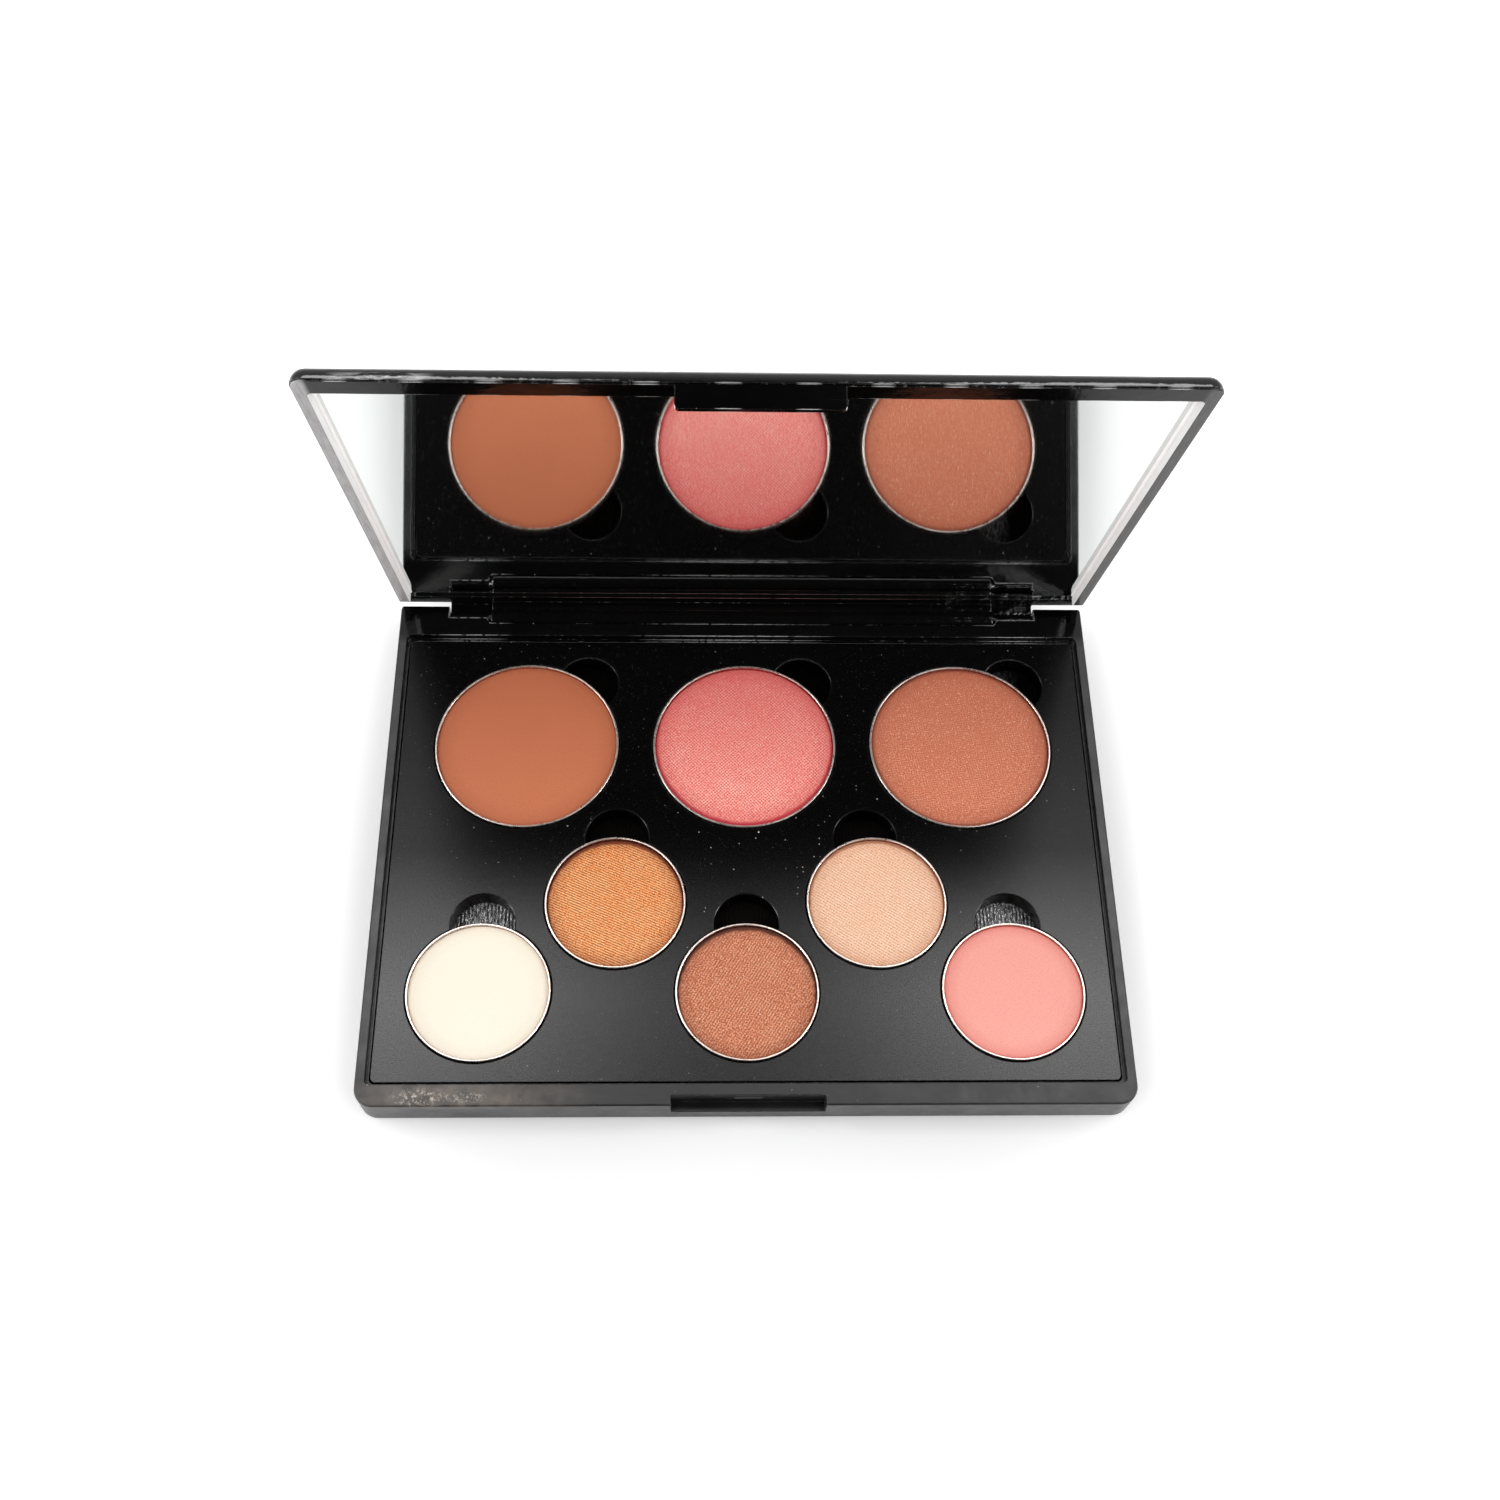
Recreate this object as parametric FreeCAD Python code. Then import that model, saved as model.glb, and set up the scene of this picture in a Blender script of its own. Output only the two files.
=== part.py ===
import FreeCAD, Part
import math
import os

from FreeCAD import Vector

# A hinged make-up palette: a shallow tray with eight lift-out pans, and a lid with a mirror.
# Millimetres. X runs to the right, Y to the hinge, Z up. The origin is under the tray's centre.

# Tray
TRAY_WIDTH = 140.0
TRAY_DEPTH = 104.6
TRAY_HEIGHT = 8.5
TRAY_FLOOR = 1.8
FRONT_CORNER = 3.5
REAR_CORNER = 1.2
BOTTOM_ROUND = 1.3
RIM_ROUND = 0.3
SIDE_RIM = 1.7
FRONT_RIM = 4.0
HINGE_BAND = 7.3
LEDGE_DROP = 1.5
LEDGE_WIDTH = 0.55
MOUTH_CORNER = 1.0

# Insert panel, magnetic sheet and pans
SHEET_THICKNESS = 1.0
PANEL_THICKNESS = 4.4
PANEL_FIT = 0.25
WELL_FIT = 0.25
WELL_BREAK = 0.15
NOTCH_RADIUS = 6.1
LARGE_PAN = 36.0
SMALL_PAN = 26.5
PAN_HEIGHT = 4.8
PAN_WALL = 0.35
PAN_HEEL = 0.7
PAN_LIP = 0.12
POWDER_DROP = 0.5
POWDER_BREAK = 0.3

# Places of the pans' rows and columns, as shares of the tray's depth and width
BACK_ROW_SHARE = 0.19598
MIDDLE_ROW_SHARE = -0.12333
FRONT_ROW_SHARE = -0.29254
BACK_SPACING_SHARE = 0.30643
MIDDLE_SPACING_SHARE = 0.17643
FRONT_SPACING_SHARE = 0.35214
REAR_NOTCH = 90.0
LEANING_NOTCH = 97.0
DIAGONAL_NOTCH = 50.0

# Hinge
POST_ROUND = 2.5
AXIS_DROP = 1.5
REST_OPENING = 77.0
OPEN_LIMIT = 110.0
POST_WIDTH = 10.0
KNUCKLE_RADIUS = 2.15
NECK_LENGTH = 7.8
NECK_RADIUS = 1.35
HINGE_GAP = 0.25
HEEL_GAP = 0.7
PIN_RADIUS = 0.6
PIN_RUN = 0.05
PIN_DEPTH = 6.8
PIN_RECESS = 0.6

# Lid
PARTING_GAP = 0.15
LID_INSET = 0.3
LID_THICKNESS = 3.85
CROWN_WIDTH = 7.5
CROWN_TURN = 70.0
WALL_FOOT = 0.2
SIDE_ROUND = 2.4
COVER_SKIN = 0.8
COVER_WALL = 1.2
FRAME_THICKNESS = 1.95
FLANGE = 0.3
FLANGE_INSET = 0.25
LID_FRONT_RIM = 4.2
LID_SIDE_RIM = 2.1
BEZEL_CORNER = 1.0
MIRROR_DEPTH = 2.1
MIRROR_THICKNESS = 0.8
MIRROR_FIT = 0.15
MIRROR_REAR = 6.9
MIRROR_CORNER = 1.5
TAPE_INSET = 3.0
REAR_LAND = 0.5
RELIEF_RADIUS = 3.4
RIM_STOP = 8.1

# Latch
TAB_WIDTH = 25.6
TAB_LENGTH = 3.8
TAB_THICKNESS = 1.0
TAB_CORNER = 0.8
SLOT_SIDE_GAP = 1.1
SLOT_END_GAP = 0.4
LATCH_GAP = 0.35
LATCH_RUN = 0.05
NUB_WIDTH = 5.0
NUB_RADIUS = 0.6
NUB_DROP = 1.2
DIMPLE_DEPTH = 0.2

# Worked-out places
FRONT = -TRAY_DEPTH / 2
BACK = TRAY_DEPTH / 2
HALF = TRAY_WIDTH / 2
SHEET_TOP = TRAY_FLOOR + SHEET_THICKNESS
PANEL_TOP = SHEET_TOP + PANEL_THICKNESS
PAN_TOP = SHEET_TOP + PAN_HEIGHT
LEDGE = TRAY_HEIGHT - LEDGE_DROP
AXIS_Y = BACK - POST_ROUND
AXIS_HEIGHT = TRAY_HEIGHT - AXIS_DROP
AXIS = Vector(0, AXIS_Y, AXIS_HEIGHT)
KNUCKLE_HALF = HALF - POST_WIDTH
NECK_HALF = KNUCKLE_HALF - NECK_LENGTH
BACK_ROW = TRAY_DEPTH * BACK_ROW_SHARE
MIDDLE_ROW = TRAY_DEPTH * MIDDLE_ROW_SHARE
FRONT_ROW = TRAY_DEPTH * FRONT_ROW_SHARE
BACK_SPACING = TRAY_WIDTH * BACK_SPACING_SHARE
MIDDLE_SPACING = TRAY_WIDTH * MIDDLE_SPACING_SHARE
FRONT_SPACING = TRAY_WIDTH * FRONT_SPACING_SHARE
LID_RIM = TRAY_HEIGHT + PARTING_GAP
LID_TOP = LID_RIM + LID_THICKNESS
LID_HALF = HALF - LID_INSET
LID_FRONT = FRONT + LID_INSET
LID_BACK = BACK - LID_INSET
COVER_FOOT = LID_RIM + FLANGE
MIRROR_FACE = LID_RIM + MIRROR_DEPTH
CEILING = LID_TOP - COVER_SKIN
FRAME_TOP = LID_RIM + FRAME_THICKNESS
MIRROR_BACK_EDGE = BACK - MIRROR_REAR
TAB_OUTER = LID_FRONT + FLANGE_INSET
SLOT_WALL = TAB_OUTER + TAB_THICKNESS + LATCH_GAP

# Overlap of a cutting tool, tolerance of a comparison, and fixed angles
OVER = 5.0
TOLERANCE = 1e-6
FULL_TURN = 360
DIAGONAL = math.sqrt(0.5)

PANS = [
    ("large_left", LARGE_PAN, -BACK_SPACING, BACK_ROW, DIAGONAL_NOTCH),
    ("large_middle", LARGE_PAN, 0.0, BACK_ROW, DIAGONAL_NOTCH),
    ("large_right", LARGE_PAN, BACK_SPACING, BACK_ROW, DIAGONAL_NOTCH),
    ("middle_left", SMALL_PAN, -MIDDLE_SPACING, MIDDLE_ROW, REAR_NOTCH),
    ("middle_right", SMALL_PAN, MIDDLE_SPACING, MIDDLE_ROW, LEANING_NOTCH),
    ("front_left", SMALL_PAN, -FRONT_SPACING, FRONT_ROW, REAR_NOTCH),
    ("front_middle", SMALL_PAN, 0.0, FRONT_ROW, REAR_NOTCH),
    ("front_right", SMALL_PAN, FRONT_SPACING, FRONT_ROW, REAR_NOTCH),
]


def outline(half, front, back, front_round, back_round):
    """A closed plan outline, symmetric about X, with rounded corners."""
    corners = [
        (-half, front, front_round, 1, 1),
        (half, front, front_round, -1, 1),
        (half, back, back_round, -1, -1),
        (-half, back, back_round, 1, -1),
    ]
    edges = []
    starts = []
    for index, (x, y, radius, to_x, to_y) in enumerate(corners):
        centre = Vector(x + to_x * radius, y + to_y * radius, 0)
        along_x = centre - Vector(0, to_y * radius, 0)
        along_y = centre - Vector(to_x * radius, 0, 0)
        middle = centre - Vector(to_x * radius, to_y * radius, 0) * DIAGONAL
        first, last = (along_y, along_x) if index % 2 == 0 else (along_x, along_y)
        starts.append((first, last))
        edges.append(Part.Arc(first, middle, last).toShape())
    for index in range(len(corners)):
        leave = starts[index][1]
        arrive = starts[(index + 1) % len(corners)][0]
        edges.append(Part.makeLine(leave, arrive))
    return Part.Wire(Part.__sortEdges__(edges))


def plate(wire, low, high):
    """The outline raised into a plate between two heights."""
    face = Part.Face(wire)
    face.translate(Vector(0, 0, low))
    return face.extrude(Vector(0, 0, high - low))


def block(x_low, x_high, y_low, y_high, z_low, z_high):
    corner = Vector(x_low, y_low, z_low)
    return Part.makeBox(x_high - x_low, y_high - y_low, z_high - z_low, corner)


def rod(radius, x_low, x_high, y, z):
    """A round bar along X."""
    return Part.makeCylinder(radius, x_high - x_low, Vector(x_low, y, z), Vector(1, 0, 0))


def along_x(points, x_low, x_high):
    """A polygon of (y, z) points drawn out along X."""
    corners = [Vector(x_low, y, z) for y, z in points]
    face = Part.Face(Part.makePolygon(corners + corners[:1]))
    return face.extrude(Vector(x_high - x_low, 0, 0))


def spindle(half, neck_half, radius, neck_radius):
    """A round bar about the hinge axis, with a thinner neck at each end behind a 45 degree shoulder."""
    shoulder = neck_half - (radius - neck_radius)
    stations = [
        (-half, 0),
        (-half, neck_radius),
        (-neck_half, neck_radius),
        (-shoulder, radius),
        (shoulder, radius),
        (neck_half, neck_radius),
        (half, neck_radius),
        (half, 0),
    ]
    corners = [Vector(x, AXIS_Y + reach, AXIS_HEIGHT) for x, reach in stations]
    face = Part.Face(Part.makePolygon(corners + corners[:1]))
    return face.revolve(AXIS, Vector(1, 0, 0), FULL_TURN)


def reach_at(radius, rise):
    """Half the width of a round bar at a height above its axis."""
    return math.sqrt(max(radius**2 - rise**2, 0.0))


def edges_at(shape, height):
    """The edges that lie in one level plane."""
    found = []
    for edge in shape.Edges:
        box = edge.BoundBox
        if abs(box.ZMin - height) < TOLERANCE and abs(box.ZMax - height) < TOLERANCE:
            found.append(edge)
    return found


def hinge_recess():
    """The room for the lid's knuckle, open above and behind, deeper between the two necks."""
    rise = TRAY_HEIGHT - AXIS_HEIGHT
    half = KNUCKLE_HALF + HINGE_GAP
    neck_half = NECK_HALF + HINGE_GAP
    bore = KNUCKLE_RADIUS + HINGE_GAP
    neck_bore = NECK_RADIUS + HINGE_GAP
    deep = AXIS_Y - reach_at(bore, rise)
    shallow = AXIS_Y - reach_at(neck_bore, rise)
    shoulder = neck_half - (shallow - deep)
    behind = BACK + OVER
    plan = [
        (-half, behind),
        (-half, shallow),
        (-neck_half, shallow),
        (-shoulder, deep),
        (shoulder, deep),
        (neck_half, shallow),
        (half, shallow),
        (half, behind),
    ]
    turn = math.radians(OPEN_LIMIT)
    shoulder_rise = COVER_FOOT + WALL_FOOT - AXIS_HEIGHT
    heel_dip = shoulder_rise * math.cos(turn) - (LID_BACK - AXIS_Y) * math.sin(turn)
    floor = AXIS_HEIGHT + heel_dip - HEEL_GAP
    corners = [Vector(x, y, floor) for x, y in plan]
    face = Part.Face(Part.makePolygon(corners + corners[:1]))
    room = face.extrude(Vector(0, 0, TRAY_HEIGHT - floor + OVER))
    return room.fuse(spindle(half, neck_half, bore, neck_bore))


def tray_mouth(inset):
    """The plan of the tray's opening, drawn in by an amount."""
    return outline(
        HALF - SIDE_RIM - inset,
        FRONT + FRONT_RIM + inset,
        BACK - HINGE_BAND - inset,
        MOUTH_CORNER,
        MOUTH_CORNER,
    )


def latch_slot():
    """The slot in the front rim that the lid's tab drops into."""
    half = TAB_WIDTH / 2 + SLOT_SIDE_GAP
    floor = LID_RIM - TAB_LENGTH - SLOT_END_GAP
    return block(-half, half, FRONT - OVER, SLOT_WALL, floor, TRAY_HEIGHT + OVER)


def latch_nub():
    """The bead on the slot's wall that holds the tab."""
    centre = SLOT_WALL - (LATCH_GAP - LATCH_RUN) + NUB_RADIUS
    bead = rod(NUB_RADIUS, -NUB_WIDTH / 2, NUB_WIDTH / 2, centre, TRAY_HEIGHT - NUB_DROP)
    front_half = block(-NUB_WIDTH, NUB_WIDTH, FRONT, SLOT_WALL, 0, TRAY_HEIGHT)
    return bead.common(front_half)


def base_tray():
    body = plate(outline(HALF, FRONT, BACK, FRONT_CORNER, REAR_CORNER), 0, TRAY_HEIGHT)
    behind_axis = block(-TRAY_WIDTH, TRAY_WIDTH, AXIS_Y, BACK + OVER, AXIS_HEIGHT, TRAY_HEIGHT + OVER)
    body = body.makeFillet(BOTTOM_ROUND, edges_at(body, 0))
    body = body.makeFillet(RIM_ROUND, edges_at(body, TRAY_HEIGHT))
    body = body.cut(behind_axis.cut(rod(POST_ROUND, -TRAY_WIDTH, TRAY_WIDTH, AXIS_Y, AXIS_HEIGHT)))
    body = body.cut(plate(tray_mouth(0), LEDGE, TRAY_HEIGHT + OVER))
    body = body.cut(plate(tray_mouth(LEDGE_WIDTH), TRAY_FLOOR, TRAY_HEIGHT))
    body = body.cut(hinge_recess())
    body = body.cut(latch_slot())
    body = body.fuse(latch_nub())
    return body.cut(rod(PIN_RADIUS, -TRAY_WIDTH, TRAY_WIDTH, AXIS_Y, AXIS_HEIGHT)).removeSplitter()


def round_cut(radius, x, y):
    """A round through-hole in the panel, with a broken upper edge."""
    foot = Vector(x, y, SHEET_TOP - OVER)
    hole = Part.makeCylinder(radius, PANEL_THICKNESS + 2 * OVER, foot)
    lead = Vector(x, y, PANEL_TOP - WELL_BREAK)
    flare = Part.makeCone(radius, radius + 2 * WELL_BREAK, 2 * WELL_BREAK, lead)
    return hole.fuse(flare)


def insert_panel():
    body = plate(tray_mouth(LEDGE_WIDTH + PANEL_FIT), SHEET_TOP, PANEL_TOP)
    for name, diameter, x, y, notch in PANS:
        turn = math.radians(notch)
        edge = diameter / 2
        well = round_cut(edge + WELL_FIT, x, y)
        finger = round_cut(NOTCH_RADIUS, x + edge * math.cos(turn), y + edge * math.sin(turn))
        body = body.cut(well.fuse(finger))
    return body


def magnet_sheet():
    return plate(tray_mouth(LEDGE_WIDTH + PANEL_FIT), TRAY_FLOOR, SHEET_TOP)


def dish(radius, low, high, heel):
    """A round solid with a rounded lower edge."""
    inner = radius - heel
    edge_middle = Vector(inner + DIAGONAL * heel, 0, low + heel - DIAGONAL * heel)
    bottom = Vector(inner, 0, low)
    side = Vector(radius, 0, low + heel)
    top = Vector(radius, 0, high)
    edges = [
        Part.makeLine(Vector(0, 0, low), bottom),
        Part.Arc(bottom, edge_middle, side).toShape(),
        Part.makeLine(side, top),
        Part.makeLine(top, Vector(0, 0, high)),
        Part.makeLine(Vector(0, 0, high), Vector(0, 0, low)),
    ]
    face = Part.Face(Part.Wire(edges))
    return face.revolve(Vector(0, 0, 0), Vector(0, 0, 1), FULL_TURN)


def pan(diameter):
    """A pressed tinplate cup with a rounded rim."""
    outer = dish(diameter / 2, SHEET_TOP, PAN_TOP, PAN_HEEL)
    inner = dish(diameter / 2 - PAN_WALL, SHEET_TOP + PAN_WALL, PAN_TOP + OVER, PAN_HEEL - PAN_WALL)
    cup = outer.cut(inner)
    return cup.makeFillet(PAN_LIP, edges_at(cup, PAN_TOP))


def powder(diameter):
    """The pressed cake that fills a pan, with a worn upper edge."""
    level = PAN_TOP - POWDER_DROP
    cake = dish(diameter / 2 - PAN_WALL, SHEET_TOP + PAN_WALL, level, PAN_HEEL - PAN_WALL)
    return cake.makeChamfer(POWDER_BREAK, edges_at(cake, level))


def crown_edge():
    """Radii of the two arcs that carry the lid's edge from its wall to its flat top."""
    rise = LID_TOP - COVER_FOOT - WALL_FOOT
    turn = math.radians(CROWN_TURN)
    across = math.cos(turn)
    up = 1 - math.sin(turn)
    tight = (rise * across - CROWN_WIDTH * up) / (math.sin(turn) * across - (1 - across) * up)
    wide = (CROWN_WIDTH - tight * (1 - across)) / across
    return tight, wide


def crown_arcs(wall, inwards):
    """The two arcs of one crowned edge: wall is the Y of the wall, inwards its way to the middle."""
    tight, wide = crown_edge()
    foot = COVER_FOOT + WALL_FOOT
    turn = math.radians(CROWN_TURN)
    half_turn = turn / 2
    late_turn = (turn + math.pi / 2) / 2

    def on_tight(angle):
        return Vector(0, wall + inwards * tight * (1 - math.cos(angle)), foot + tight * math.sin(angle))

    def on_wide(angle):
        run = CROWN_WIDTH - wide * math.cos(angle)
        return Vector(0, wall + inwards * run, LID_TOP - wide * (1 - math.sin(angle)))

    lower = Part.Arc(on_tight(0), on_tight(half_turn), on_tight(turn)).toShape()
    upper = Part.Arc(on_tight(turn), on_wide(late_turn), on_wide(math.pi / 2)).toShape()
    return lower, upper


def crowned_body():
    """The closed lid's outer form: crowned at the front and back, rounded at the sides."""
    front_foot = Vector(0, LID_FRONT, COVER_FOOT)
    back_foot = Vector(0, LID_BACK, COVER_FOOT)
    front_low, front_high = crown_arcs(LID_FRONT, 1)
    back_low, back_high = crown_arcs(LID_BACK, -1)
    top_front = Vector(0, LID_FRONT + CROWN_WIDTH, LID_TOP)
    top_back = Vector(0, LID_BACK - CROWN_WIDTH, LID_TOP)
    edges = [
        Part.makeLine(front_foot, front_foot + Vector(0, 0, WALL_FOOT)),
        front_low,
        front_high,
        Part.makeLine(top_front, top_back),
        back_high,
        back_low,
        Part.makeLine(back_foot + Vector(0, 0, WALL_FOOT), back_foot),
        Part.makeLine(back_foot, front_foot),
    ]
    face = Part.Face(Part.Wire(Part.__sortEdges__(edges)))
    face.translate(Vector(-LID_HALF, 0, 0))
    body = face.extrude(Vector(2 * LID_HALF, 0, 0))
    rims = []
    for edge in body.Edges:
        box = edge.BoundBox
        at_side = box.XLength < TOLERANCE
        is_foot = box.ZMax < COVER_FOOT + TOLERANCE
        if at_side and not is_foot:
            rims.append(edge)
    return body.makeFillet(SIDE_ROUND, rims)


def corner_relief():
    """What is cut off the lid's rear corners, so that they swing round the tray's hinge posts."""
    stop = Vector(0, BACK - RIM_STOP, LID_RIM) - AXIS
    bearing = math.atan2(stop.z, stop.y) - math.acos(RELIEF_RADIUS / stop.Length)
    slope = -math.cos(bearing) / math.sin(bearing)
    start_y = AXIS_Y + stop.y
    end_rise = slope * -stop.y
    profile = [
        (start_y - OVER, LID_RIM - slope * OVER),
        (AXIS_Y, LID_RIM + end_rise),
        (AXIS_Y, LID_TOP + OVER),
        (BACK + OVER, LID_TOP + OVER),
        (BACK + OVER, LID_RIM - OVER),
        (start_y - OVER, LID_RIM - OVER),
    ]
    right = along_x(profile, KNUCKLE_HALF, HALF + OVER)
    left = along_x(profile, -HALF - OVER, -KNUCKLE_HALF)
    return right.fuse(left)


def frame_seat(inset):
    """Plan of the room that the mirror frame fills inside the cover."""
    corner = max(SIDE_ROUND - inset, BEZEL_CORNER)
    return outline(LID_HALF - inset, LID_FRONT + inset, MIRROR_BACK_EDGE, corner, BEZEL_CORNER)


def mirror_plan(inset):
    return outline(
        LID_HALF - LID_SIDE_RIM - inset,
        LID_FRONT + LID_FRONT_RIM + inset,
        MIRROR_BACK_EDGE - inset,
        MIRROR_CORNER,
        MIRROR_CORNER,
    )


def knuckle_web():
    """The wall that carries the knuckle from the cover's rear land."""
    land = MIRROR_FACE - REAR_LAND
    shoulder = NECK_HALF - (KNUCKLE_RADIUS - NECK_RADIUS)
    front = AXIS_Y - reach_at(KNUCKLE_RADIUS, TRAY_HEIGHT - AXIS_HEIGHT)
    middle = block(-shoulder, shoulder, front, AXIS_Y + KNUCKLE_RADIUS, AXIS_HEIGHT, land)
    necks = block(-KNUCKLE_HALF, KNUCKLE_HALF, AXIS_Y, AXIS_Y + NECK_RADIUS, AXIS_HEIGHT, land)
    return middle.fuse(necks)


def lid_cover():
    land = MIRROR_FACE - REAR_LAND
    body = crowned_body()
    body = body.cut(plate(frame_seat(COVER_WALL), COVER_FOOT - OVER, FRAME_TOP))
    body = body.cut(plate(mirror_plan(-MIRROR_FIT), FRAME_TOP - OVER, CEILING))
    inner = LID_HALF - COVER_WALL
    rear_wall = LID_BACK - COVER_WALL
    body = body.cut(block(-inner, inner, MIRROR_BACK_EDGE - OVER, rear_wall, COVER_FOOT - OVER, land))
    body = body.cut(corner_relief())
    body = body.fuse(knuckle_web())
    body = body.fuse(spindle(KNUCKLE_HALF, NECK_HALF, KNUCKLE_RADIUS, NECK_RADIUS))
    for side in (-1, 1):
        deep = side * (KNUCKLE_HALF - PIN_DEPTH - HINGE_GAP)
        mouth = side * (KNUCKLE_HALF + OVER)
        bore = rod(PIN_RADIUS + PIN_RUN, min(deep, mouth), max(deep, mouth), AXIS_Y, AXIS_HEIGHT)
        body = body.cut(bore)
    return body.removeSplitter()


def latch_tab():
    """The springy tab at the front of the mirror frame, dimpled for the tray's nub."""
    half = TAB_WIDTH / 2
    tip = LID_RIM - TAB_LENGTH
    body = block(-half, half, TAB_OUTER, TAB_OUTER + TAB_THICKNESS, tip, LID_RIM)
    tips = []
    for edge in edges_along_y(body):
        if edge.BoundBox.ZMax < tip + TOLERANCE:
            tips.append(edge)
    body = body.makeFillet(TAB_CORNER, tips)
    inner = TAB_OUTER + TAB_THICKNESS
    dimple_half = NUB_WIDTH / 2 + LATCH_GAP
    centre = inner + NUB_RADIUS - DIMPLE_DEPTH
    dimple = rod(NUB_RADIUS, -dimple_half, dimple_half, centre, TRAY_HEIGHT - NUB_DROP)
    return body.cut(dimple)


def edges_along_y(shape):
    found = []
    for edge in shape.Edges:
        box = edge.BoundBox
        if box.XLength < TOLERANCE and box.ZLength < TOLERANCE:
            found.append(edge)
    return found


def mirror_frame():
    """The bezel that closes the front and sides of the mirror, open towards the hinge."""
    flange = plate(frame_seat(FLANGE_INSET), LID_RIM, COVER_FOOT)
    upstand = plate(frame_seat(COVER_WALL), COVER_FOOT, FRAME_TOP)
    body = flange.fuse(upstand)
    half = LID_HALF - LID_SIDE_RIM
    window = outline(half, LID_FRONT + LID_FRONT_RIM, BACK + OVER, BEZEL_CORNER, BEZEL_CORNER)
    body = body.cut(plate(window, LID_RIM - OVER, FRAME_TOP + OVER))
    body = body.cut(corner_relief())
    return body.fuse(latch_tab()).removeSplitter()


def mirror():
    return plate(mirror_plan(0), MIRROR_FACE, MIRROR_FACE + MIRROR_THICKNESS)


def mirror_tape():
    return plate(mirror_plan(TAPE_INSET), MIRROR_FACE + MIRROR_THICKNESS, CEILING)


def hinge_pin(side):
    inner = side * (KNUCKLE_HALF - PIN_DEPTH)
    outer = side * (HALF - PIN_RECESS)
    return rod(PIN_RADIUS, min(inner, outer), max(inner, outer), AXIS_Y, AXIS_HEIGHT)


def opened(shape):
    """The lid's pieces turned from closed to their opening at rest."""
    turned = shape.copy()
    turned.rotate(AXIS, Vector(1, 0, 0), -REST_OPENING)
    return turned


def moved(shape, x, y):
    placed = shape.copy()
    placed.translate(Vector(x, y, 0))
    return placed


def main():
    os.makedirs("parts", exist_ok=True)
    nodes = {
        "base_tray": base_tray(),
        "magnet_sheet": magnet_sheet(),
        "insert_panel": insert_panel(),
        "hinge_pin_left": hinge_pin(-1),
        "hinge_pin_right": hinge_pin(1),
        "lid_cover": opened(lid_cover()),
        "mirror_frame": opened(mirror_frame()),
        "mirror": opened(mirror()),
        "mirror_tape": opened(mirror_tape()),
    }
    for name, diameter, x, y, notch in PANS:
        nodes["pan_" + name] = moved(pan(diameter), x, y)
        nodes["powder_" + name] = moved(powder(diameter), x, y)
    for name, shape in nodes.items():
        print(name, "solids", len(shape.Solids), "valid", shape.isValid(), "volume", round(shape.Volume, 2))
        shape.exportStep("parts/" + name + ".step")


main()
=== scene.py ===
import math
import random

import bmesh
import bpy
from mathutils import Matrix, Vector


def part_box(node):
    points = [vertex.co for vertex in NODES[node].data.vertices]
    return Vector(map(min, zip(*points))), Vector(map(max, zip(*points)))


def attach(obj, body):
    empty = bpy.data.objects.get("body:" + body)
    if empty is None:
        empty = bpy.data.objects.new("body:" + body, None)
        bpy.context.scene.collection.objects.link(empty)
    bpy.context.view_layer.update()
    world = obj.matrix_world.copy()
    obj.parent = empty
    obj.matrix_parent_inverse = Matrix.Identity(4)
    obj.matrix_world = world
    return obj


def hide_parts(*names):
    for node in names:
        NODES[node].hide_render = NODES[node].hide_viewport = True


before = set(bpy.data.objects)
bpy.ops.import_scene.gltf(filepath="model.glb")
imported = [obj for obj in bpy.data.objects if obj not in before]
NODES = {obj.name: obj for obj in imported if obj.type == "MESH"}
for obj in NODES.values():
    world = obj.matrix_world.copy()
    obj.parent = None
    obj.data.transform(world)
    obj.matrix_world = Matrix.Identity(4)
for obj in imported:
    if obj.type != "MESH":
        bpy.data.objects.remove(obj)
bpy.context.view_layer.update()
MM = 0.001

PLACES = (
    "large_left",
    "large_middle",
    "large_right",
    "middle_left",
    "middle_right",
    "front_left",
    "front_middle",
    "front_right",
)

# Sizes of the CAD that the materials follow, in millimetres, and the lid's opening at rest
TRAY_HALF_DEPTH = 52.3
LID_HALF_WIDTH = 70
LID_OPENING = math.radians(77)


def srgb(red, green, blue):
    """A colour as seen on a screen, from 0 to 255, as linear RGBA."""
    linear = []
    for value in (red, green, blue):
        share = value / 255
        linear.append(share / 12.92 if share <= 0.04045 else ((share + 0.055) / 1.055) ** 2.4)
    return (*linear, 1.0)


def grey(value):
    """A linear grey as RGBA."""
    return (value, value, value, 1.0)


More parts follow.
